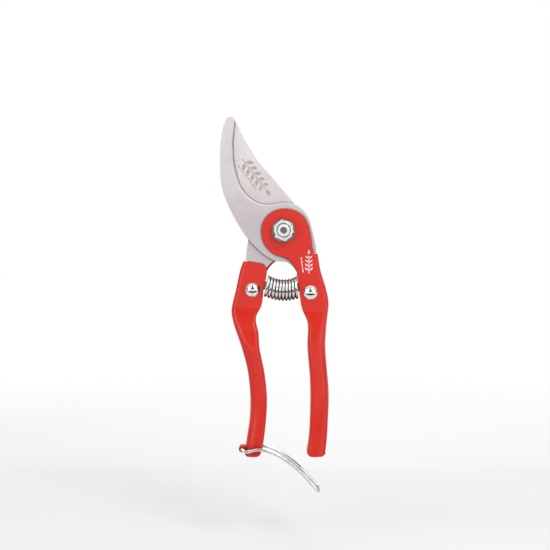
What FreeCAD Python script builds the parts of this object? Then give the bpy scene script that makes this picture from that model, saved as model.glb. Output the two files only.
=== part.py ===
"""Bypass pruning shears with pressed-steel channel handles, about 210 mm long.

The shears stand upright: +Z runs to the blade tips, -Y is the front, the side of the
pivot nut, and +X is the side of the hook blade's handle. The origin is on the pivot
axis, midway between the two sliding blade faces. All sizes are in millimetres.
"""
import FreeCAD, Part
import math
import os

V = FreeCAD.Vector
LEFT, RIGHT = -1, 1

# Steel blades
BLADE_THICKNESS = 2.8
SLIDING_GAP = 0.1
BEVEL_DEPTH = 2.2
BEVEL_WIDTH = 5.5
HOOK_BEVEL = 1.0
BEVEL_STATIONS = 15
BEVEL_FADE = 0.1
BEVEL_OVERRUN = 0.3
TANG_CLEARANCE = 3.0
TANG_END = -46.5
PEG_LENGTH = 5.0
PEG_NOSE = 1.2

# Pressed handles
SHEET = 1.6
SEAT_GAP = 0.02
HEAD_WEB = 0.3
HEAD_CURL = SHEET + 0.1
HEAD_LIP = 0.1
GRIP_HALF_DEPTH = 7.5
GRIP_BEND = 5.8
GRIP_CURL = 2.5
GRIP_LIP = 2.3
FLARE_TOP = -46.0
FLARE_BOTTOM = -72.0
INNER_END_ROUNDING = 3.4
OUTER_END_ROUNDING = 2.0
RIM_ROUNDING = 0.5
TRIM_REACH = 14.0
TRIM_RISE = 2.0

# Pivot bolt, nut and washers
BOLT_RADIUS = 4.0
RUNNING_FIT = 0.05
WASHER_RADIUS = 7.1
WASHER_THICKNESS = 1.2
REAR_WASHER_THICKNESS = 1.0
NUT_FLATS = 11.9
NUT_HEIGHT = 4.2
NUT_TURN = 9.0
BOLT_HEAD_FLATS = 13.0
BOLT_HEAD_HEIGHT = 4.0
BOLT_PROUD = 0.4
BOLT_POINT = 0.5
SOCKET_FLATS = 4.0
SOCKET_DEPTH = 4.5
NUT_COUNTERSINK = 0.55
FACE_SHARE = 0.94
FACE_SLOPE = 32.0

# Handle rivets
RIVET_RADIUS = 2.5
RIVET_HEAD_RADIUS = 4.6
RIVET_HEAD_HEIGHT = 2.3
LEFT_RIVET = (-19.2, -36.6)
RIGHT_RIVET = (16.6, -38.1)

# Coil spring between the heads: the middle of its first and last turn
SPRING_LEFT = (-10.35, -33.8)
SPRING_RIGHT = (8.3, -34.8)
SPRING_WIRE = 0.88
SPRING_RADIUS = 6.4
SPRING_TURNS = 9.5
SPRING_SAG = 2.0
SPRING_FAN = 9.0
PEG_SHARE = 0.4
STEPS_PER_TURN = 12

# Wire bail that holds the handles shut; its arch is drawn along and above its chord
BAIL_WIRE = 1.0
BAIL_PIVOT = (-25.6, -134.7)
BAIL_DROOP = 28.0
BAIL_REACH = 53.0
BAIL_CORNER = 2.2
BAIL_SIDE_GAP = 0.35
BAIL_START_LIFT = 10.0
BAIL_END_DROP = 20.0
BAIL_ARCH = [(7.4, 4.2), (12.4, 6.6), (19.8, 7.8), (26.0, 7.5), (35.0, 6.0), (44.0, 3.4)]
KEEPER_HALF_WIDTH = 3.5
KEEPER_WALL = 1.0
KEEPER_ROOT = 3.0
CATCH_RADIUS = 0.9
CATCH_HALF_WIDTH = 1.6
CATCH_PLACE = (25.1, -137.4)

# Channel outlines at each height: (z, outer x, inner x)
RIGHT_HEAD = [(-14, 20.9, 9.8), (-20, 22.0, 9.2), (-26, 23.2, 8.3), (-32, 25.1, 8.9),
              (-38, 26.8, 9.8), (-44, 27.8, 10.6), (-50, 27.4, 12.1)]
RIGHT_GRIP = [(-50, 27.4, 12.1), (-54, 27.0, 14.0), (-58, 26.6, 15.1), (-63, 26.2, 15.2),
              (-70, 25.9, 14.9), (-80, 26.4, 15.5), (-89, 27.2, 16.3), (-98, 27.9, 16.7),
              (-108, 27.9, 16.7), (-117, 27.5, 16.4), (-126, 27.0, 15.9), (-133, 26.3, 15.0),
              (-139, 25.5, 14.2)]
LEFT_HEAD = [(-18.8, -24.9, -10.6), (-24, -26.8, -10.2), (-30, -28.2, -11.0),
             (-36, -29.4, -12.3), (-42, -30.9, -12.9), (-46, -31.8, -13.6), (-50, -32.3, -15.6)]
LEFT_GRIP = [(-50, -32.3, -15.6), (-54, -31.8, -17.1), (-58, -30.8, -16.8), (-63, -29.1, -15.6),
             (-70, -26.6, -15.2), (-78, -24.2, -13.9), (-86, -22.3, -12.2), (-94, -21.2, -11.0),
             (-102, -20.6, -10.3), (-110, -20.6, -10.3), (-118, -21.2, -10.9),
             (-126, -22.4, -11.8), (-133, -23.4, -12.8), (-139, -24.1, -13.7)]

# The rim of the wall that covers the pivot, seen as on the right handle
DISC_RIM = [(-1.4, -15.9), (-4.8, -14.9), (-8.0, -12.8), (-11.0, -9.6), (-13.0, -5.2),
            (-13.8, -0.4), (-12.0, 6.5), (-6.9, 11.6), (0.0, 13.5), (7.1, 12.4),
            (12.1, 9.0), (14.9, 4.3), (16.1, 0.0), (16.9, -5.0)]

# Distances along Y worked out from the sizes above
HALF_GAP = SLIDING_GAP / 2
LAYER_CENTRE = HALF_GAP + BLADE_THICKNESS / 2
HEAD_HALF_DEPTH = BLADE_THICKNESS / 2 + SEAT_GAP + SHEET
HEAD_BEND = HEAD_HALF_DEPTH - HEAD_WEB
DISC_OUTER = LAYER_CENTRE + HEAD_HALF_DEPTH
DISC_INNER = DISC_OUTER - SHEET
SHORT_OUTER = HEAD_HALF_DEPTH - LAYER_CENTRE
HOLE_RADIUS = BOLT_RADIUS + RUNNING_FIT
PEG_HALF_HEIGHT = PEG_SHARE * SPRING_RADIUS
BAIL_SIDE = GRIP_HALF_DEPTH + BAIL_SIDE_GAP + BAIL_WIRE


def run_edge(points):
    """A straight edge through two (x, z) points, or a smooth one through more."""
    path = [V(x, 0, z) for x, z in points]
    if len(path) == 2:
        return Part.makeLine(path[0], path[1])
    curve = Part.BSplineCurve()
    curve.interpolate(path)
    return curve.toShape()


def plate(runs, start, end):
    """A flat plate from y = start to y = end. Each run begins where the last one ended."""
    edges = []
    here = runs[-1][-1]
    for run in runs:
        edges.append(run_edge([here] + run))
        here = run[-1]
    face = Part.Face(Part.Wire(edges))
    face.translate(V(0, start, 0))
    return face.extrude(V(0, end - start, 0))


def rod(radius, place, start, end):
    """A round bar along Y through the (x, z) place."""
    low, high = sorted((start, end))
    return Part.makeCylinder(radius, high - low, V(place[0], low, place[1]), V(0, 1, 0))


def turned(profile):
    """A solid turned about the pivot axis from a closed chain of (radius, y) points."""
    corners = [V(radius, y, 0) for radius, y in profile]
    face = Part.Face(Part.makePolygon(corners + corners[:1]))
    return face.revolve(V(0, 0, 0), V(0, 1, 0), 360)


def hexagon(flats, start, end, turn=0.0):
    """A hexagonal bar along the pivot axis. Unturned, it has a corner straight down."""
    reach = flats / math.sqrt(3)
    corners = []
    for side in range(7):
        angle = math.radians(60 * side - 90 + turn)
        corners.append(V(reach * math.cos(angle), start, reach * math.sin(angle)))
    return Part.Face(Part.makePolygon(corners)).extrude(V(0, end - start, 0))


def trimmed_hexagon(flats, start, end, turn=0.0):
    """A hexagonal bar whose end corners are turned off to a round face."""
    reach = flats / math.sqrt(3)
    small = FACE_SHARE * flats / 2
    drop = (reach - small) * math.tan(math.radians(FACE_SLOPE))
    cone = turned([(0, start), (small, start), (reach, start + drop),
                   (reach, end - drop), (small, end), (0, end)])
    return hexagon(flats, start, end, turn).common(cone)


def washer(radius, start, end):
    return rod(radius, (0, 0), start, end).cut(rod(HOLE_RADIUS, (0, 0), start, end))


def dome(radius, height, place, base, way):
    """A rounded rivet head that rises from y = base towards -Y or +Y."""
    ball_radius = (radius * radius + height * height) / (2 * height)
    middle = base + way * (height - ball_radius)
    ball = Part.makeSphere(ball_radius, V(place[0], middle, place[1]))
    return ball.common(rod(radius, place, base, base + way * height))


def bend(middle, start, end, radius):
    """A quarter bend about middle, from its start side to its end side."""
    out = V(start + end).normalize() * radius
    return Part.Arc(middle + start * radius, middle + out, middle + end * radius).toShape()


def flared(head, grip, z):
    """A size at height z, where the channel opens from its head size to its grip size."""
    share = min(max((FLARE_TOP - z) / (FLARE_TOP - FLARE_BOTTOM), 0.0), 1.0)
    return head + (grip - head) * share * share * (3 - 2 * share)


def wall_edges(side, station, way, inset, curled):
    """One wall's outline from its free edge to the middle of the web, inset from the skin."""
    z, outer, inner = station
    half = flared(HEAD_HALF_DEPTH, GRIP_HALF_DEPTH, z)
    web_bend = flared(HEAD_BEND, GRIP_BEND, z)
    out, face = V(side, 0, 0), V(0, way, 0)
    middle = flared(-side * LAYER_CENTRE, 0.0, z)
    turn = V(outer - side * web_bend, middle, z) + face * (half - web_bend)
    edges = []
    start = V(inner, middle, z) + face * (half - inset)
    if curled:
        curl = flared(HEAD_CURL, GRIP_CURL, z)
        pivot = V(inner + side * curl, middle, z) + face * (half - curl)
        lip_top = pivot - out * (curl - inset)
        lip_end = lip_top - face * flared(HEAD_LIP, GRIP_LIP, z)
        edges.append(Part.makeLine(lip_end, lip_top))
        edges.append(bend(pivot, -out, face, curl - inset))
        start = pivot + face * (curl - inset)
    edges.append(Part.makeLine(start, turn + face * (web_bend - inset)))
    edges.append(bend(turn, face, out, web_bend - inset))
    edges.append(Part.makeLine(turn + out * (web_bend - inset), V(outer - side * inset, middle, z)))
    return edges


def channel_section(side, station, curled):
    """The bent sheet's outline at one height: two walls, the web, and lips if curled."""
    front_out, front_in = [wall_edges(side, station, -1, inset, curled) for inset in (0.0, SHEET)]
    back_out, back_in = [wall_edges(side, station, 1, inset, curled) for inset in (0.0, SHEET)]
    ends = [edges[0].valueAt(edges[0].FirstParameter)
            for edges in (front_in, front_out, back_out, back_in)]
    front_end = Part.makeLine(ends[0], ends[1])
    back_end = Part.makeLine(ends[2], ends[3])
    return Part.Wire([front_end] + front_out + back_out[::-1]
                     + [back_end] + back_in + front_in[::-1])


def channel(side, stations, curled):
    sections = [channel_section(side, station, curled) for station in stations]
    return Part.makeLoft(sections, True, False)


def add_pivot_wall(handle, side, neck, throat):
    """Give the channel the wall that runs up over the pivot, with a rounded rim."""
    rim = throat + [(side * x, z) for x, z in DISC_RIM] + neck[:1]
    runs = [rim] + [[place] for place in neck[1:]]
    runs = runs[1:] + runs[:1]
    face, inner = -side * DISC_OUTER, -side * DISC_INNER
    wall = plate(runs, face, inner)
    rims = [edge for edge in wall.Edges
            if abs(edge.BoundBox.YMin - face) + abs(edge.BoundBox.YMax - face) < HALF_GAP
            and edge.BoundBox.ZMax > 0]
    wall = wall.makeFillet(RIM_ROUNDING, rims)
    window = plate(runs, face - side * SHEET, inner + side * HEAD_WEB)
    return handle.cut(window).fuse(wall)


def trim_short_wall(handle, side, corner):
    """Cut the other wall back to its top edge, which rounds down to the inner edge."""
    top = 0.0
    inward, outward = corner[0][0] - side * TRIM_REACH, corner[-1][0] + side * TRIM_REACH
    above = [[(inward, corner[0][1])], [(inward, top)], [(outward, top)],
             [(outward, corner[-1][1] + TRIM_RISE)], [corner[-1]], corner[-2::-1]]
    face, inner = SHORT_OUTER + SHEET, SHORT_OUTER - SHEET - SEAT_GAP
    return handle.cut(plate(above, side * face, side * inner))


def round_end(handle, side, station):
    """Round the two corners of the grip's end, as seen from the front."""
    z, outer, inner = station
    for x, way, radius in ((inner, side, INNER_END_ROUNDING), (outer, -side, OUTER_END_ROUNDING)):
        centre = (x + way * radius, z + radius)
        low, high = sorted((x - way * radius, centre[0]))
        corner = Part.makeBox(high - low, 4 * GRIP_HALF_DEPTH, 2 * radius,
                              V(low, -2 * GRIP_HALF_DEPTH, z - radius))
        keep = rod(radius, centre, -2 * GRIP_HALF_DEPTH, 2 * GRIP_HALF_DEPTH)
        handle = handle.cut(corner.cut(keep))
    return handle


def ground(blade, points, face, way, width, depth):
    """Grind a bevel along an edge of the blade, on its face that looks towards way."""
    curve = run_edge(points)
    sections = []
    for station in range(BEVEL_STATIONS):
        share = station / (BEVEL_STATIONS - 1)
        place = curve.FirstParameter + (curve.LastParameter - curve.FirstParameter) * share
        heading = curve.tangentAt(place)
        inward = V(heading.z, 0, -heading.x) * way
        size = BEVEL_FADE + (1 - BEVEL_FADE) * math.sin(math.pi * share) ** 0.5
        at_face = curve.valueAt(place) + V(0, face, 0)
        low = at_face - V(0, way, 0) * depth * size
        high = at_face + inward * width * size
        low, high = low + (low - high) * BEVEL_OVERRUN, high + (high - low) * BEVEL_OVERRUN
        clear = at_face + V(0, way, 0) * depth - inward * depth
        sections.append(Part.makePolygon([low, high, clear, low]))
    return blade.cut(Part.makeLoft(sections, True, False))


def pierced(shape, rivet):
    """The pivot hole and the rivet hole, through a handle or a blade."""
    shape = shape.cut(rod(HOLE_RADIUS, (0, 0), -2 * DISC_OUTER, 2 * DISC_OUTER))
    return shape.cut(rod(RIVET_RADIUS + SEAT_GAP, rivet, -2 * DISC_OUTER, 2 * DISC_OUTER))


def right_handle():
    handle = channel(RIGHT, RIGHT_HEAD, False).fuse(channel(RIGHT, RIGHT_GRIP, True))
    neck = [(18.1, -13.0), (19.2, -27.0), (12.0, -28.0), (8.4, -26.6)]
    throat = [(7.7, -23.9), (6.0, -20.8), (2.9, -17.8)]
    handle = add_pivot_wall(handle, RIGHT, neck, throat)
    handle = trim_short_wall(handle, RIGHT, [(8.0, -27.5), (9.3, -23.6), (11.2, -21.4), (14.0, -20.3)])
    handle = round_end(handle, RIGHT, RIGHT_GRIP[-1])
    handle = handle.fuse(rod(CATCH_RADIUS, CATCH_PLACE, -CATCH_HALF_WIDTH, CATCH_HALF_WIDTH))
    return pierced(handle, RIGHT_RIVET)


def add_keeper(handle):
    """The curled tongue on the handle's end that the bail turns in."""
    x, z = BAIL_PIVOT
    bore = BAIL_WIRE + RUNNING_FIT
    outer = bore + KEEPER_WALL
    width = 2 * KEEPER_HALF_WIDTH
    curl = rod(outer, BAIL_PIVOT, -KEEPER_HALF_WIDTH, KEEPER_HALF_WIDTH)
    root = Part.makeBox(KEEPER_ROOT, width, KEEPER_WALL, V(x, -KEEPER_HALF_WIDTH, z + bore))
    return handle.fuse(curl.fuse(root)).cut(rod(bore, BAIL_PIVOT, -width, width))


def left_handle():
    handle = channel(LEFT, LEFT_HEAD, False).fuse(channel(LEFT, LEFT_GRIP, True))
    neck = [(-21.0, -15.0), (-23.2, -27.0), (-14.0, -28.5), (-10.6, -26.8)]
    throat = [(-9.7, -23.9), (-7.2, -20.8), (-3.4, -17.9)]
    handle = add_pivot_wall(handle, LEFT, neck, throat)
    handle = trim_short_wall(handle, LEFT, [(-9.9, -26.0), (-10.7, -23.4), (-11.9, -21.4), (-14.0, -20.3)])
    handle = round_end(handle, LEFT, LEFT_GRIP[-1])
    return pierced(add_keeper(handle), LEFT_RIVET)


def peg_runs(tang_x, spring_end, way):
    """The tang's peg that carries one end of the spring, from its top side to its underside."""
    top, bottom = spring_end[1] + PEG_HALF_HEIGHT, spring_end[1] - PEG_HALF_HEIGHT
    tip = spring_end[0] + way * PEG_LENGTH
    base = tip - way * PEG_NOSE
    return [[(tang_x, top)], [(base, top)], [(tip, top - PEG_NOSE)], [(tip, bottom + PEG_NOSE)],
            [(base, bottom)], [(tang_x - way * PEG_NOSE, bottom)]]


def tang_edge(side, stations):
    """The tang's outer edge, up the inside of the web from the tang's end."""
    inside = [(outer - side * TANG_CLEARANCE, z) for z, outer, inner in stations if z > TANG_END]
    return inside[::-1]


def hook_blade():
    """Crescent counter-blade, its ring round the pivot and its tang in the right handle."""
    crescent = [(-34.8, 69.8), (-36.1, 67.9), (-37.1, 64.6), (-38.1, 60.3), (-38.9, 54.0),
                (-39.3, 46.0), (-39.3, 38.0), (-38.6, 29.5), (-36.8, 22.2), (-32.8, 12.8),
                (-28.0, 3.9), (-22.5, -4.4), (-16.2, -11.2), (-9.9, -16.2), (-6.0, -18.3)]
    heel = [(-2.7, -18.9), (2.0, -19.4), (5.1, -21.6), (7.9, -25.2), (9.8, -28.6)]
    collar = [(19.5, -7.0), (18.0, -0.8), (16.0, 6.5), (13.1, 11.7), (8.2, 15.8)]
    mouth = [(3.6, 17.3), (-2.7, 17.2), (-7.5, 16.4), (-12.2, 16.4), (-16.2, 17.5),
             (-20.2, 19.9), (-23.3, 22.7), (-25.7, 25.9), (-28.0, 30.6), (-29.6, 36.6),
             (-30.8, 42.1), (-31.3, 48.0), (-31.5, 55.0), (-31.1, 61.0), (-30.4, 66.6)]
    nose = [(-30.6, 68.9), (-31.4, 70.1), (-32.8, 70.4)]
    shoulder = [[(17.9, -13.7)], [(20.2, -13.7)]]
    runs = [crescent, heel] + peg_runs(10.4, SPRING_RIGHT, LEFT) + [[(12.8, TANG_END)]]
    runs += [[(24.6, TANG_END)], tang_edge(RIGHT, RIGHT_HEAD)] + shoulder + [collar, mouth, nose]
    blade = plate(runs, -HALF_GAP - BLADE_THICKNESS, -HALF_GAP)
    blade = ground(blade, collar[-1:] + mouth, -HALF_GAP - BLADE_THICKNESS, -1, HOOK_BEVEL, HOOK_BEVEL)
    return pierced(blade, RIGHT_RIVET)


def cutting_blade():
    """Convex blade behind the hook, its boss at the pivot and its tang in the left handle."""
    spine = [(-29.6, 67.6), (-26.5, 61.4), (-24.1, 56.8), (-20.2, 50.1), (-17.3, 45.5),
             (-12.2, 39.2), (-4.3, 29.9), (3.6, 20.7), (7.9, 15.6)]
    boss = [(12.2, 9.6), (14.6, 3.6), (14.9, -3.0), (12.8, -9.6), (8.2, -14.4), (3.0, -16.6),
            (-3.0, -17.6), (-6.5, -19.0), (-9.0, -21.0), (-11.0, -23.8), (-11.9, -27.4)]
    shoulder = [[(-21.9, -18.4)], [(-23.3, -18.4)]]
    rear = [(-22.9, -12.4), (-22.0, -6.4), (-21.5, 0.0), (-21.9, 7.0), (-23.9, 14.2), (-27.2, 21.2)]
    edge_run = [(-30.6, 27.8), (-33.4, 35.5), (-34.9, 44.0), (-35.2, 52.0), (-34.7, 59.0),
                (-33.4, 65.0), (-31.9, 68.5), (-30.9, 69.3)]
    runs = [spine, boss] + peg_runs(-12.2, SPRING_LEFT, RIGHT) + [[(-15.0, TANG_END)]]
    runs += [[(-29.0, TANG_END)], tang_edge(LEFT, LEFT_HEAD)] + shoulder + [rear, edge_run]
    blade = plate(runs, HALF_GAP, HALF_GAP + BLADE_THICKNESS)
    blade = ground(blade, rear[-1:] + edge_run, HALF_GAP + BLADE_THICKNESS, 1, BEVEL_WIDTH, BEVEL_DEPTH)
    return pierced(blade, LEFT_RIVET)


def rivet(side, place):
    """A rivet with a domed head on each face of a handle's head."""
    front, back = -side * LAYER_CENTRE - HEAD_HALF_DEPTH, -side * LAYER_CENTRE + HEAD_HALF_DEPTH
    body = rod(RIVET_RADIUS, place, front - SEAT_GAP, back + SEAT_GAP)
    for base, way in ((front - SEAT_GAP, -1), (back + SEAT_GAP, 1)):
        body = body.fuse(dome(RIVET_HEAD_RADIUS, RIVET_HEAD_HEIGHT, place, base, way))
    return body


def pivot_pieces():
    """The bolt with its head at the back, the nut at the front and a washer under each."""
    washer_face = -DISC_OUTER - SEAT_GAP
    nut_face = washer_face - WASHER_THICKNESS - SEAT_GAP
    nut_end = nut_face - NUT_HEIGHT
    tip = nut_end - BOLT_PROUD
    rear_face = DISC_OUTER + HALF_GAP
    head_face = rear_face + REAR_WASHER_THICKNESS + SEAT_GAP
    head_end = head_face + BOLT_HEAD_HEIGHT
    nut = trimmed_hexagon(NUT_FLATS, nut_end, nut_face, NUT_TURN)
    shank = turned([(0, tip), (BOLT_RADIUS - BOLT_POINT, tip), (BOLT_RADIUS, tip + BOLT_POINT),
                    (BOLT_RADIUS, head_face), (0, head_face)])
    bolt = shank.fuse(trimmed_hexagon(BOLT_HEAD_FLATS, head_face, head_end))
    mouth = turned([(0, nut_end), (HOLE_RADIUS + NUT_COUNTERSINK, nut_end),
                    (HOLE_RADIUS, nut_end + NUT_COUNTERSINK), (0, nut_end + NUT_COUNTERSINK)])
    return {
        "pivot_bolt": bolt.cut(hexagon(SOCKET_FLATS, tip, tip + SOCKET_DEPTH, NUT_TURN)),
        "pivot_nut": nut.cut(rod(HOLE_RADIUS, (0, 0), nut_end, nut_face)).cut(mouth),
        "front_washer": washer(WASHER_RADIUS, washer_face - WASHER_THICKNESS, washer_face),
        "rear_washer": washer(WASHER_RADIUS, rear_face, rear_face + REAR_WASHER_THICKNESS),
    }


def swept(path, radius, coiled=False):
    """Round wire along a path of joined edges."""
    start = path[0].valueAt(path[0].FirstParameter)
    heading = path[0].tangentAt(path[0].FirstParameter)
    profile = Part.Wire(Part.makeCircle(radius, start, heading))
    return Part.Wire(path).makePipeShell([profile], True, coiled)


def return_spring():
    """Compressed coil spring that sags between the heads, its turns fanned out below.

    Both ends run across the front, so the wire starts at the bottom and stops at the top.
    """
    path = []
    steps = round(SPRING_TURNS * STEPS_PER_TURN)
    for step in range(steps + 1):
        share = step / steps
        turn = math.pi + 2 * math.pi * step / STEPS_PER_TURN
        lean = math.radians(SPRING_FAN * (1 - 2 * share))
        x = SPRING_LEFT[0] + (SPRING_RIGHT[0] - SPRING_LEFT[0]) * share
        z = SPRING_LEFT[1] + (SPRING_RIGHT[1] - SPRING_LEFT[1]) * share
        z -= 4 * SPRING_SAG * share * (1 - share)
        rise = SPRING_RADIUS * math.cos(turn)
        path.append(V(x + rise * math.sin(lean), SPRING_RADIUS * math.sin(turn), z + rise * math.cos(lean)))
    curve = Part.BSplineCurve()
    curve.interpolate(path)
    return swept([curve.toShape()], SPRING_WIRE, coiled=True)


def latch_bail():
    """Closed wire loop: a crossbar in the keeper, two arched legs and an end bar."""
    droop = math.radians(BAIL_DROOP)
    along = V(math.cos(droop), 0, -math.sin(droop))
    above = V(math.sin(droop), 0, math.cos(droop))
    out = V(0, 1, 0)
    origin = V(BAIL_PIVOT[0], 0, BAIL_PIVOT[1])
    end = origin + along * BAIL_REACH
    lift, drop = math.radians(BAIL_START_LIFT), math.radians(BAIL_END_DROP)
    leaving = along * math.cos(lift) + above * math.sin(lift)
    arriving = along * math.cos(drop) - above * math.sin(drop)
    side = out * BAIL_SIDE
    corner_side = out * (BAIL_SIDE - BAIL_CORNER)
    leg_start = origin + side + leaving * BAIL_CORNER
    leg_end = end + side - arriving * BAIL_CORNER
    arch = [origin + side + along * u + above * v for u, v in BAIL_ARCH]
    leg = Part.BSplineCurve()
    leg.interpolate(Points=[leg_start] + arch + [leg_end], InitialTangent=leaving, FinalTangent=arriving)
    half = swept([
        Part.makeLine(origin, origin + corner_side),
        bend(origin + corner_side + leaving * BAIL_CORNER, -leaving, out, BAIL_CORNER),
        leg.toShape(),
        bend(end + corner_side - arriving * BAIL_CORNER, out, arriving, BAIL_CORNER),
        Part.makeLine(end + corner_side, end),
    ], BAIL_WIRE)
    return half.fuse(half.mirror(V(0, 0, 0), out))


def main():
    nodes = {
        "right_handle": right_handle(),
        "hook_blade": hook_blade(),
        "right_rivet": rivet(RIGHT, RIGHT_RIVET),
        "left_handle": left_handle(),
        "cutting_blade": cutting_blade(),
        "left_rivet": rivet(LEFT, LEFT_RIVET),
        "return_spring": return_spring(),
        "latch_bail": latch_bail(),
    }
    nodes.update(pivot_pieces())
    os.makedirs("parts", exist_ok=True)
    for name, shape in nodes.items():
        solid = shape.removeSplitter().Solids[0]
        print(name, len(shape.Solids), solid.isValid(), round(solid.Volume, 1))
        solid.exportStep("parts/" + name + ".step")


main()
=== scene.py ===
"""Looks of a pair of bypass pruning shears with red pressed-steel handles, in metres.

The shears stand upright as in the CAD frame: +Z to the blade tips, -Y to the viewer, +X to
the hook blade's handle, with the origin on the pivot axis.
"""
import math

import bmesh
import bpy
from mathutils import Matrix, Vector

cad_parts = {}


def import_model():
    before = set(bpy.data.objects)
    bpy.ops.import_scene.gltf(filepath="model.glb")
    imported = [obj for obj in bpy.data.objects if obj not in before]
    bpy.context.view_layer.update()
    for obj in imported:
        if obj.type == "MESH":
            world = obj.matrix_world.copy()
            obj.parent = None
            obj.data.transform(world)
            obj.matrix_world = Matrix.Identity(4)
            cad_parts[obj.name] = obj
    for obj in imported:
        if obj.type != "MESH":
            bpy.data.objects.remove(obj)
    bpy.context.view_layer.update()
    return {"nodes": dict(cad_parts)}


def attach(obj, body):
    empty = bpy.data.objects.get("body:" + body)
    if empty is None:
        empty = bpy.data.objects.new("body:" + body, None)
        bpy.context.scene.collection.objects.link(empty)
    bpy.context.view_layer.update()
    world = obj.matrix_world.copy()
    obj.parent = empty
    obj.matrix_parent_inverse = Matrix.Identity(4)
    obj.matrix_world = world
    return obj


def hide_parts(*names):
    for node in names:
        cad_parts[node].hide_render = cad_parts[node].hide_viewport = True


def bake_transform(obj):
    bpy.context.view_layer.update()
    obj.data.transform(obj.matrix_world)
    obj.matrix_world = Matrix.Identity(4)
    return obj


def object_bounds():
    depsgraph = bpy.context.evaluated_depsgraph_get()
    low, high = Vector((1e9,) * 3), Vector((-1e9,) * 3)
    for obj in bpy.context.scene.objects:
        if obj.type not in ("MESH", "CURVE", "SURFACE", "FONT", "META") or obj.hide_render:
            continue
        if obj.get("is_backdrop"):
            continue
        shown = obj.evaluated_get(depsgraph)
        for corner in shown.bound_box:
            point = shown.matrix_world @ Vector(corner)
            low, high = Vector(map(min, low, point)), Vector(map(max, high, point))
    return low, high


MM = 0.001

# Coil spring, in millimetres and degrees: (x, z) of the middle of its two end turns, the
# radius of its wire and of the coil, and how far the row of turns sags and fans out
SPRING_LEFT = (-10.35, -33.8)
SPRING_RIGHT = (8.3, -34.8)
SPRING_WIRE = 0.88
SPRING_RADIUS = 6.4
SPRING_TURNS = 9.5
SPRING_SAG = 2.0
SPRING_FAN = 9.0
COIL_STEPS = 64
WIRE_SIDES = 20

# Rounded ends of the spring's wire: rings, length as a share of the wire's radius, and the
# least share of its section
END_RINGS = 5
END_LENGTH = 0.8
END_LEAST = 0.01

# Marks on the metal, in millimetres: y of the faces they are on, and how they stand off them
BLADE_FACE = 0.05
HANDLE_FACE = -4.47
MARK_THICKNESS = 0.02
MARK_CLEARANCE = 0.01

# Stems and leaves: steps along a leaf's edge, the power that points it, and how much smaller
# leaves are at the tip. In spaces between pairs, the first pair sits FIRST_PAIR up the stem,
# which is STEM_EXTRA longer than its number of pairs
STEM_WIDTH = 0.6
STEM_EXTRA = 0.4
FIRST_PAIR = 0.6
LEAF_SIDES = 18
LEAF_POINT = 1.2
LEAF_TAPER = 0.3

# Sprigs and rows of ticks, as (x, z) in millimetres and degrees
BLADE_SPRIG = {"root": (-25.6, 44.8), "tip": (-11.6, 26.4), "pairs": 5,
               "leaf_length": 5.4, "leaf_width": 2.4, "spread": 48}
BLADE_TICKS = {"start": (-28.2, 40.6), "heading": (0.605, -0.796),
               "lengths": [1.6, 1.0, 1.6, 2.2, 1.0, 1.6, 2.2, 1.0], "space": 0.9, "width": 0.7}
HANDLE_SPRIG = {"root": (15.6, -26.4), "tip": (15.6, -15.4), "pairs": 4,
                "leaf_length": 3.0, "leaf_width": 1.3, "spread": 50}
HANDLE_TICKS = {"start": (10.9, -16.6), "heading": (0.12, -0.993),
                "lengths": [1.2, 1.8, 1.2, 0.8, 1.8], "space": 0.6, "width": 0.8}

# Colours, as display values between 0 and 255: the lower and the higher end of each range
PAINT_TONES = [(200, 33, 16), (206, 38, 21)]
HOOK_TONES = [(204, 194, 196), (252, 245, 245)]
BLADE_TONES = [(212, 202, 204), (252, 245, 246)]
PLATING_TONES = [(215, 214, 214), (238, 237, 236)]
# Washers: darker, partly a duller plating and partly painted shade around the nut
DULL_AND_SHADED_TONES = [(118, 116, 115), (142, 140, 138)]
WIRE_TONES = [(205, 204, 203), (236, 235, 233)]
ETCH_TONES = [(166, 156, 148), (196, 188, 180)]
PRINT_TONES = [(226, 188, 184), (242, 212, 208)]
CARD_TONES = [(24, 22, 22), (30, 28, 28)]

# Red paint: noise per metre of its tone, its gloss and its orange peel
PAINT_CLOUD = 45.0
GLOSS_CLOUD = 160.0
PEEL = 900.0

# Ground steel: noise per metre across and along the grain, and in patches, the shares of
# both in the tone, and how much painted light brightens it per metre towards the tips
GRAIN_SCALE = (260.0, 260.0, 6000.0)
STEEL_CLOUD = 38.0
STEEL_BASE = 0.1
GRAIN_SHARE = 0.35
CLOUD_SHARE = 0.3
PAINTED_TIP_LIGHT = 3.4
HOOK_GRAIN = 0.9
BLADE_GRAIN = 0.62

# Plating, and print or etching: noise per metre of tone, gloss and wear
PLATING_CLOUD = 300.0
PLATING_GLOSS = 1500.0
WEAR = 1400.0

# Camera, in metres and on a 36 mm sensor
CAMERA_PLACE = (-0.00527, -0.68, -0.0273)
CAMERA_LENS = 71.8
CAMERA_NEAR = 0.01
SENSOR = 36.0

# Floor, low enough for the latch to hang clear of it
FLOOR_DROP = 0.030
FLOOR_RADIUS = 6.0
FLOOR_SIDES = 96
FLOOR_FADE_START = 0.25
FLOOR_FADE_END = 1.1
FLOOR_CLOUD = 3.0
FLOOR_LOW = 0.70
FLOOR_HIGH = 0.73
WHITE = (1.0, 1.0, 1.0, 1.0)

# Surroundings, by the x, y and z of a direction: a sky that brightens upwards, a bright card
# in front with a soft edge, and a dark wedge in the card, narrower towards its top
SKY_BASE = 0.18
SKY_RISE = 0.95
CARD_BASE = 0.75
CARD_RISE = 3.6
CARD_TOP = 1.5
CARD_CORE = 0.55
CARD_EDGE = 4.0
WEDGE_WIDTH = 0.55
WEDGE_FOOT = 0.12
WEDGE_TOP = 0.97
WEDGE_SHADE = 0.95

# Dark card, in metres: half its width, its height, and near and far edges of its strips
CARD_HALF = 1.5
CARD_HEIGHT = -0.186
DARK_STRIPS = [(-0.20, -0.60), (0.25, 0.03)]
CARD_CLOUD = 8.0

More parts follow.
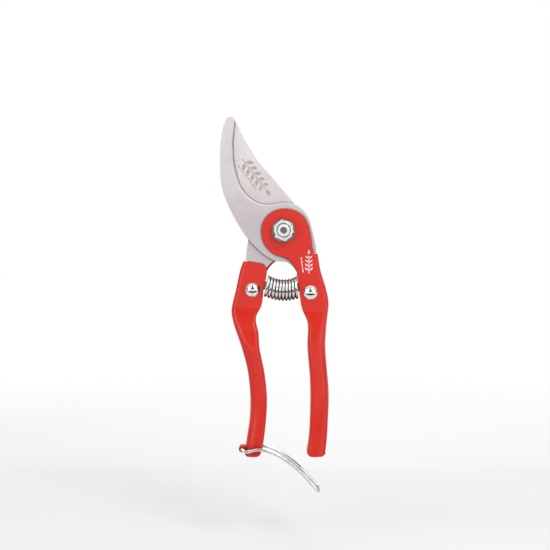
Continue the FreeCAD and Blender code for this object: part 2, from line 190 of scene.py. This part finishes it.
# Lamps, in metres and watts: place, target, size and power
LAMPS = {
    "key": ((0.45, -0.70, 0.75), (0, 0, -0.03), (0.35, 0.35), 3.1),
    "left": ((-0.7, -0.6, 0.1), (0, 0, -0.05), (0.3, 0.9), 1.9),
    "right": ((0.75, -0.5, 0.0), (0, 0, -0.05), (0.2, 0.9), 1.3),
    "back": ((0.1, 0.8, 0.6), (0, 0, -0.02), (0.8, 0.6), 4.0),
}


def linear(red, green, blue):
    """A shader colour from display values between 0 and 255."""
    values = [channel / 255 for channel in (red, green, blue)]
    turned = [v / 12.92 if v <= 0.04045 else ((v + 0.055) / 1.055) ** 2.4 for v in values]
    return (turned[0], turned[1], turned[2], 1.0)


def add_node(tree, kind, **settings):
    node = tree.nodes.new(kind)
    for name, value in settings.items():
        setattr(node, name, value)
    return node


class Look:
    """One material and short calls for the nodes it is built from."""

    def __init__(self, name):
        self.material = bpy.data.materials.new(name)
        self.material.use_nodes = True
        self.tree = self.material.node_tree
        self.shader = self.tree.nodes["Principled BSDF"]
        self.place = self.add("ShaderNodeTexCoord").outputs["Object"]

    def add(self, kind, **settings):
        return add_node(self.tree, kind, **settings)

    def link(self, source, target):
        self.tree.links.new(source, target)

    def set(self, **values):
        for name, value in values.items():
            self.shader.inputs[name.replace("_", " ")].default_value = value

    def feed(self, socket, source):
        self.link(source, self.shader.inputs[socket])

    def turned(self, angle, scale):
        """Object coordinates turned about Y and then scaled, for grain along a slope."""
        turn = self.add("ShaderNodeVectorRotate", rotation_type="Y_AXIS")
        turn.inputs["Angle"].default_value = angle
        self.link(self.place, turn.inputs["Vector"])
        node = self.add("ShaderNodeMapping")
        node.inputs["Scale"].default_value = scale
        self.link(turn.outputs["Vector"], node.inputs["Vector"])
        return node.outputs["Vector"]

    def noise(self, vector, scale, detail=2.0):
        node = self.add("ShaderNodeTexNoise")
        node.inputs["Scale"].default_value = scale
        node.inputs["Detail"].default_value = detail
        self.link(vector, node.inputs["Vector"])
        return node.outputs["Fac"]

    def ramp(self, factor, low, high, start=0.3, end=0.7):
        """Values or colours from low to high as the factor goes from start to end."""
        node = self.add("ShaderNodeValToRGB")
        for element, place, value in zip(node.color_ramp.elements, (start, end), (low, high)):
            element.position = place
            element.color = value if isinstance(value, tuple) else (value, value, value, 1.0)
        self.link(factor, node.inputs["Fac"])
        return node.outputs["Color"]

    def tones(self, factor, pair, start=0.3, end=0.7):
        """A ramp between two colours given as display values."""
        low, high = pair
        return self.ramp(factor, linear(*low), linear(*high), start, end)

    def painted_recess_shade(self, colour, reach, shade, shut, clear):
        """The colour darkened by painted shade where the surface is shut in within reach, rising to
        clear.
        """
        # painted shade: ambient occlusion darkens the base colour itself
        occlusion = self.add("ShaderNodeAmbientOcclusion", samples=8)
        occlusion.inputs["Distance"].default_value = reach
        share = self.ramp(occlusion.outputs["AO"], shade, 1.0, shut, clear)
        mix = self.add("ShaderNodeMix", data_type="RGBA", blend_type="MULTIPLY")
        mix.inputs["Factor"].default_value = 1.0
        self.link(colour, mix.inputs["A"])
        self.link(share, mix.inputs["B"])
        return mix.outputs["Result"]

    def weighted(self, start, *terms):
        """Start plus a sum of values, each times its weight."""
        total = None
        for source, weight in terms:
            node = self.add("ShaderNodeMath", operation="MULTIPLY_ADD")
            node.inputs[1].default_value = weight
            node.inputs[2].default_value = start
            self.link(source, node.inputs[0])
            if total is not None:
                self.link(total, node.inputs[2])
            total = node.outputs[0]
        return total

    def relief(self, height, distance, strength, rounding):
        """Bump over edges softened by the rounding."""
        node = self.add("ShaderNodeBump")
        node.inputs["Distance"].default_value = distance
        node.inputs["Strength"].default_value = strength
        self.link(height, node.inputs["Height"])
        soft = self.add("ShaderNodeBevel", samples=6)
        soft.inputs["Radius"].default_value = rounding
        self.link(soft.outputs["Normal"], node.inputs["Normal"])
        return node.outputs["Normal"]


def red_paint():
    """Thick glossy paint with orange peel, a little uneven in tone, and darkened by painted shade
    where it is shut in.
    """
    look = Look("red_paint")
    tone = look.tones(look.noise(look.place, PAINT_CLOUD), PAINT_TONES)
    # painted shade: the paint's colour darkens in the handles' channels and creases
    look.feed("Base Color", look.painted_recess_shade(tone, reach=0.004, shade=0.4, shut=0.35, clear=0.8))
    gloss = look.noise(look.place, GLOSS_CLOUD, detail=0.0)
    look.feed("Roughness", look.ramp(gloss, low=0.35, high=0.40, start=0.2, end=0.8))
    look.set(IOR=1.33, Coat_Weight=0.35, Coat_Roughness=0.1, Coat_IOR=1.5)
    peel = look.noise(look.place, PEEL, detail=0.0)
    normal = look.relief(peel, distance=0.00002, strength=0.25, rounding=0.0003)
    look.feed("Normal", normal)
    look.feed("Coat Normal", normal)
    return look.material


def steel(name, tones, grain_angle, roughness):
    """Satin steel with fine grain along one slope, made brighter towards the tips by painted light,
    and darkened by painted shade where it is shut in.
    """
    look = Look(name)
    grain = look.noise(look.turned(grain_angle, GRAIN_SCALE), scale=1.0, detail=4.0)
    cloud = look.noise(look.place, STEEL_CLOUD, detail=3.0)
    axes = look.add("ShaderNodeSeparateXYZ")
    look.link(look.place, axes.inputs[0])
    height = axes.outputs["Z"]
    # painted light: the tone brightens with height, towards the blade tips
    grain_cloud_and_tip_light = look.weighted(STEEL_BASE, (grain, GRAIN_SHARE), (cloud, CLOUD_SHARE), (height, PAINTED_TIP_LIGHT))
    tone = look.tones(grain_cloud_and_tip_light, tones, start=0.35, end=0.65)
    # painted shade: dark lines where the steel is shut in, as under the hook's edge and around the
    # disc
    look.feed("Base Color", look.painted_recess_shade(tone, reach=0.0016, shade=0.03, shut=0.48, clear=0.85))
    look.feed("Roughness", look.ramp(grain, low=roughness - 0.05, high=roughness + 0.07))
    look.set(Metallic=0.85)
    look.feed("Normal", look.relief(grain, distance=0.00002, strength=0.25, rounding=0.0002))
    return look.material


def plated(name, tones, roughness, rounding=0.0002, shut=0.22, clear=0.62):
    """Bright plating with a faint unevenness, darkened by painted shade where it is shut in."""
    look = Look(name)
    cloud = look.noise(look.place, PLATING_CLOUD, detail=3.0)
    tone = look.tones(cloud, tones)
    # painted shade: dark grooves, socket and gaps where the plating is shut in
    look.feed("Base Color", look.painted_recess_shade(tone, reach=0.004, shade=0.02, shut=shut, clear=clear))
    gloss = look.noise(look.place, PLATING_GLOSS)
    look.feed("Roughness", look.ramp(gloss, low=roughness, high=roughness + 0.06))
    look.set(Metallic=1.0)
    look.feed("Normal", look.relief(cloud, distance=0.00003, strength=0.12, rounding=rounding))
    return look.material


def mark_paint(name, tones, roughness, metallic):
    """Thin print or etching, slightly worn."""
    look = Look(name)
    wear = look.noise(look.place, WEAR, detail=3.0)
    look.feed("Base Color", look.tones(wear, tones))
    look.feed("Roughness", look.ramp(wear, low=roughness, high=roughness + 0.1))
    look.set(Metallic=metallic)
    return look.material


def assign(nodes, names, material):
    for name in names:
        nodes[name].data.materials.clear()
        nodes[name].data.materials.append(material)


def finished(name, mesh, material, smooth=False):
    """An object in the scene from a bmesh."""
    bmesh.ops.recalc_face_normals(mesh, faces=mesh.faces)
    data = bpy.data.meshes.new(name)
    mesh.to_mesh(data)
    mesh.free()
    for polygon in data.polygons:
        polygon.use_smooth = smooth
    data.materials.append(material)
    piece = bpy.data.objects.new(name, data)
    bpy.context.scene.collection.objects.link(piece)
    return piece


def coil_frame(turn):
    """Where the spring's wire runs at a turn count, in metres, and the way out from the coil."""
    share = min(max(turn / SPRING_TURNS, 0.0), 1.0)
    lean = math.radians(SPRING_FAN * (1 - 2 * share))
    x = SPRING_LEFT[0] + (SPRING_RIGHT[0] - SPRING_LEFT[0]) * share
    z = SPRING_LEFT[1] + (SPRING_RIGHT[1] - SPRING_LEFT[1]) * share
    z -= 4 * SPRING_SAG * share * (1 - share)
    rise = Vector((math.sin(lean), 0, math.cos(lean)))
    angle = math.pi + 2 * math.pi * turn
    out = rise * math.cos(angle) + Vector((0, 1, 0)) * math.sin(angle)
    return (Vector((x, 0, z)) + out * SPRING_RADIUS) * MM, out


def wire_ring(mesh, centre, out, side, radius):
    """The vertices of one round section of the wire."""
    ring = []
    for corner in range(WIRE_SIDES):
        angle = 2 * math.pi * corner / WIRE_SIDES
        ring.append(mesh.verts.new(centre + (out * math.cos(angle) + side * math.sin(angle)) * radius))
    return ring


def coil_spring(material):
    """Bright turns of round wire with rounded-off ends, both of them across the front."""
    mesh = bmesh.new()
    rings = []
    count = round(SPRING_TURNS * COIL_STEPS)
    for step in range(-END_RINGS, count + END_RINGS + 1):
        inside = min(max(step, 0), count)
        past = abs(step - inside) / END_RINGS
        here, out = coil_frame(inside / COIL_STEPS)
        ahead = coil_frame(min(inside + 1, count) / COIL_STEPS)[0]
        behind = coil_frame(max(inside - 1, 0) / COIL_STEPS)[0]
        heading = (ahead - behind).normalized()
        side = heading.cross(out).normalized()
        out = side.cross(heading).normalized()
        radius = SPRING_WIRE * MM * math.sqrt(max(1 - past * past, END_LEAST))
        here = here + heading * math.copysign(past * SPRING_WIRE * MM * END_LENGTH, step - inside)
        rings.append(wire_ring(mesh, here, out, side, radius))
    for first, second in zip(rings, rings[1:]):
        for corner in range(WIRE_SIDES):
            following = (corner + 1) % WIRE_SIDES
            mesh.faces.new((first[corner], first[following], second[following], second[corner]))
    mesh.faces.new(rings[0][::-1])
    mesh.faces.new(rings[-1])
    return finished("coil_spring", mesh, material, smooth=True)


def stamp(mesh, outline, face):
    """A thin plate of a closed (x, z) outline, in millimetres, just in front of y = face."""
    back_y = face - MARK_CLEARANCE
    front_y = back_y - MARK_THICKNESS
    back = [mesh.verts.new(Vector((x, back_y, z)) * MM) for x, z in outline]
    front = [mesh.verts.new(Vector((x, front_y, z)) * MM) for x, z in outline]
    mesh.faces.new(back)
    mesh.faces.new(front[::-1])
    for index in range(len(outline)):
        following = (index + 1) % len(outline)
        mesh.faces.new((back[index], front[index], front[following], back[following]))


def moved(place, heading, distance):
    """A point moved along a heading, in the (x, z) plane."""
    return (place[0] + heading[0] * distance, place[1] + heading[1] * distance)


def turned_heading(heading, angle):
    return (heading[0] * math.cos(angle) - heading[1] * math.sin(angle),
            heading[0] * math.sin(angle) + heading[1] * math.cos(angle))


def leaf(root, heading, length, width):
    """The outline of a pointed leaf from its root along heading."""
    across = (-heading[1], heading[0])
    outline = []
    for way in (1, -1):
        for step in range(LEAF_SIDES):
            share = step / LEAF_SIDES if way > 0 else 1 - step / LEAF_SIDES
            swell = way * width / 2 * math.sin(math.pi * share) ** LEAF_POINT
            outline.append(moved(moved(root, heading, length * share), across, swell))
    return outline


def bar(start, heading, length, width):
    """The outline of a straight bar from the middle of its end."""
    across = (-heading[1], heading[0])
    end = moved(start, heading, length)
    return [moved(start, across, width / 2), moved(end, across, width / 2),
            moved(end, across, -width / 2), moved(start, across, -width / 2)]


def sprig(name, root, tip, face, pairs, leaf_length, leaf_width, spread, material):
    """A stem with pairs of leaves and one at its tip."""
    run = (tip[0] - root[0], tip[1] - root[1])
    length = math.hypot(*run)
    heading = (run[0] / length, run[1] / length)
    mesh = bmesh.new()
    stamp(mesh, bar(root, heading, length, STEM_WIDTH), face)
    for pair in range(pairs):
        share = (pair + FIRST_PAIR) / (pairs + STEM_EXTRA)
        place = moved(root, run, share)
        size = 1 - LEAF_TAPER * share
        for way in (1, -1):
            slope = turned_heading(heading, way * math.radians(spread))
            base = moved(place, slope, STEM_WIDTH)
            stamp(mesh, leaf(base, slope, leaf_length * size, leaf_width * size), face)
    stamp(mesh, leaf(moved(tip, heading, STEM_WIDTH), heading, leaf_length, leaf_width), face)
    return finished(name, mesh, material)


def ticks(name, start, heading, face, lengths, space, width, material):
    """A row of short bars."""
    mesh = bmesh.new()
    along = 0.0
    for length in lengths:
        stamp(mesh, bar(moved(start, heading, along), heading, length, width), face)
        along += length + space
    return finished(name, mesh, material)


def blade_marks(material):
    """An etched sprig and a row of ticks below it, down the slope of the cutting blade."""
    return [
        sprig("blade_sprig", face=BLADE_FACE, material=material, **BLADE_SPRIG),
        ticks("blade_ticks", face=BLADE_FACE, material=material, **BLADE_TICKS),
    ]


def handle_marks(material):
    """A white sprig and a row of ticks beside it, down the right handle's head."""
    return [
        sprig("handle_sprig", face=HANDLE_FACE, material=material, **HANDLE_SPRIG),
        ticks("handle_ticks", face=HANDLE_FACE, material=material, **HANDLE_TICKS),
    ]


def floor_look():
    """Pale floor that fades to the background's white away from the object."""
    look = Look("floor")
    far = look.add("ShaderNodeVectorMath", operation="LENGTH")
    look.link(look.place, far.inputs[0])
    fade = look.add("ShaderNodeMapRange", interpolation_type="SMOOTHSTEP")
    fade.inputs["From Min"].default_value = FLOOR_FADE_START
    fade.inputs["From Max"].default_value = FLOOR_FADE_END
    look.link(far.outputs["Value"], fade.inputs["Value"])
    glow = look.add("ShaderNodeEmission")
    glow.inputs["Color"].default_value = WHITE
    mix = look.add("ShaderNodeMixShader")
    look.link(fade.outputs["Result"], mix.inputs["Fac"])
    look.link(look.shader.outputs["BSDF"], mix.inputs[1])
    look.link(glow.outputs["Emission"], mix.inputs[2])
    look.set(Roughness=0.85, Specular_IOR_Level=0.2)
    look.feed("Base Color", look.ramp(look.noise(look.place, FLOOR_CLOUD), FLOOR_LOW, FLOOR_HIGH))
    look.link(mix.outputs["Shader"], look.tree.nodes["Material Output"].inputs["Surface"])
    return look.material


def stage_floor(height):
    mesh = bmesh.new()
    bmesh.ops.create_circle(mesh, cap_ends=True, segments=FLOOR_SIDES, radius=FLOOR_RADIUS)
    floor = finished("floor", mesh, floor_look())
    floor.location = (0, 0, height)
    floor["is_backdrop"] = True


def studio():
    """Surroundings that look plain white, and light the shears with a card and its wedge."""
    world = bpy.data.worlds.new("studio")
    world.use_nodes = True
    bpy.context.scene.world = world
    tree = world.node_tree
    tree.nodes.clear()

    def calc(operation, *values):
        node = add_node(tree, "ShaderNodeMath", operation=operation)
        for socket, value in zip(node.inputs, values):
            if isinstance(value, (int, float)):
                socket.default_value = value
            else:
                tree.links.new(value, socket)
        return node.outputs[0]

    def limited(value, least, most):
        return calc("MINIMUM", calc("MAXIMUM", value, least), most)

    way = add_node(tree, "ShaderNodeSeparateXYZ")
    tree.links.new(add_node(tree, "ShaderNodeTexCoord").outputs["Generated"], way.inputs[0])
    x, y, z = way.outputs
    sky = calc("MULTIPLY_ADD", calc("MAXIMUM", z, 0.0), SKY_RISE, SKY_BASE)
    ahead = limited(calc("MULTIPLY_ADD", y, -CARD_EDGE, -CARD_EDGE * CARD_CORE), 0.0, 1.0)
    card = limited(calc("MULTIPLY_ADD", z, CARD_RISE, CARD_BASE), 0.0, CARD_TOP)
    bright = calc("MULTIPLY_ADD", card, ahead, sky)
    width = calc("MULTIPLY", calc("SUBTRACT", WEDGE_TOP, z), WEDGE_WIDTH)
    wedge = calc("MULTIPLY", calc("LESS_THAN", calc("ABSOLUTE", x), width), calc("LESS_THAN", y, 0.0))
    wedge = calc("MULTIPLY", wedge, calc("GREATER_THAN", z, WEDGE_FOOT))
    strength = calc("MULTIPLY", bright, calc("MULTIPLY_ADD", wedge, -WEDGE_SHADE, 1.0))
    lit = add_node(tree, "ShaderNodeBackground")
    lit.inputs["Color"].default_value = WHITE
    tree.links.new(strength, lit.inputs["Strength"])
    seen = add_node(tree, "ShaderNodeBackground")
    seen.inputs["Color"].default_value = WHITE
    mix = add_node(tree, "ShaderNodeMixShader")
    tree.links.new(add_node(tree, "ShaderNodeLightPath").outputs["Is Camera Ray"], mix.inputs["Fac"])
    tree.links.new(lit.outputs[0], mix.inputs[1])
    tree.links.new(seen.outputs[0], mix.inputs[2])
    tree.links.new(mix.outputs[0], add_node(tree, "ShaderNodeOutputWorld").inputs["Surface"])


def dark_card():
    """Dark strips low in front and underneath, seen only in reflections."""
    look = Look("dark_card")
    look.set(Roughness=0.9)
    look.feed("Base Color", look.tones(look.noise(look.place, CARD_CLOUD), CARD_TONES))
    mesh = bmesh.new()
    for near, far in DARK_STRIPS:
        corners = ((-CARD_HALF, near), (-CARD_HALF, far), (CARD_HALF, far), (CARD_HALF, near))
        mesh.faces.new([mesh.verts.new((x, y, 0)) for x, y in corners])
    card = finished("dark_card", mesh, look.material)
    card.location = (0, 0, CARD_HEIGHT)
    card.visible_camera = False
    card.visible_diffuse = False
    card.visible_shadow = False
    card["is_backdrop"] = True


def soft_light(name, place, target, size, power):
    data = bpy.data.lights.new(name, "AREA")
    data.shape = "RECTANGLE"
    data.size, data.size_y = size
    data.energy = power
    lamp = bpy.data.objects.new(name, data)
    lamp.location = place
    lamp.rotation_euler = (Vector(target) - Vector(place)).to_track_quat("-Z", "Y").to_euler()
    bpy.context.scene.collection.objects.link(lamp)


def camera():
    data = bpy.data.cameras.new("camera")
    data.lens = CAMERA_LENS
    data.sensor_width = SENSOR
    data.clip_start = CAMERA_NEAR
    eye = bpy.data.objects.new("camera", data)
    eye.location = CAMERA_PLACE
    eye.rotation_euler = (math.pi / 2, 0, 0)
    bpy.context.scene.collection.objects.link(eye)
    bpy.context.scene.camera = eye


def main():
    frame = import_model()
    nodes = frame["nodes"]

    assign(nodes, ["left_handle", "right_handle"], red_paint())
    assign(nodes, ["hook_blade"], steel("hook_steel", HOOK_TONES, HOOK_GRAIN, roughness=0.34))
    assign(nodes, ["cutting_blade"], steel("blade_steel", BLADE_TONES, BLADE_GRAIN, roughness=0.38))
    plating = plated("plating", PLATING_TONES, roughness=0.07)
    assign(nodes, ["left_rivet", "right_rivet", "pivot_bolt", "pivot_nut"], plating)
    # the washers' plating is darker, partly a duller zinc and partly painted shade
    dull_and_shaded_plating = plated("dull_and_shaded_plating", DULL_AND_SHADED_TONES, roughness=0.2)
    assign(nodes, ["front_washer", "rear_washer"], dull_and_shaded_plating)
    # painted shade: stronger on the wire, dark between the spring's turns
    wire = plated("wire_plating", WIRE_TONES, roughness=0.1, rounding=0.0001, shut=0.4, clear=0.85)
    assign(nodes, ["latch_bail"], wire)

    spring = coil_spring(wire)
    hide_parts("return_spring")
    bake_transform(spring)

    etching = mark_paint("etching", ETCH_TONES, roughness=0.5, metallic=0.6)
    for piece in blade_marks(etching):
        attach(piece, "blade_side")
    white_print = mark_paint("white_print", PRINT_TONES, roughness=0.4, metallic=0.0)
    for piece in handle_marks(white_print):
        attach(piece, "hook_side")

    studio()
    dark_card()
    for name, (place, target, size, power) in LAMPS.items():
        soft_light(name, place, target, size, power)
    camera()
    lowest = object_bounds()[0][2]
    stage_floor(lowest - FLOOR_DROP)
    bpy.context.scene.view_settings.view_transform = "Standard"


main()
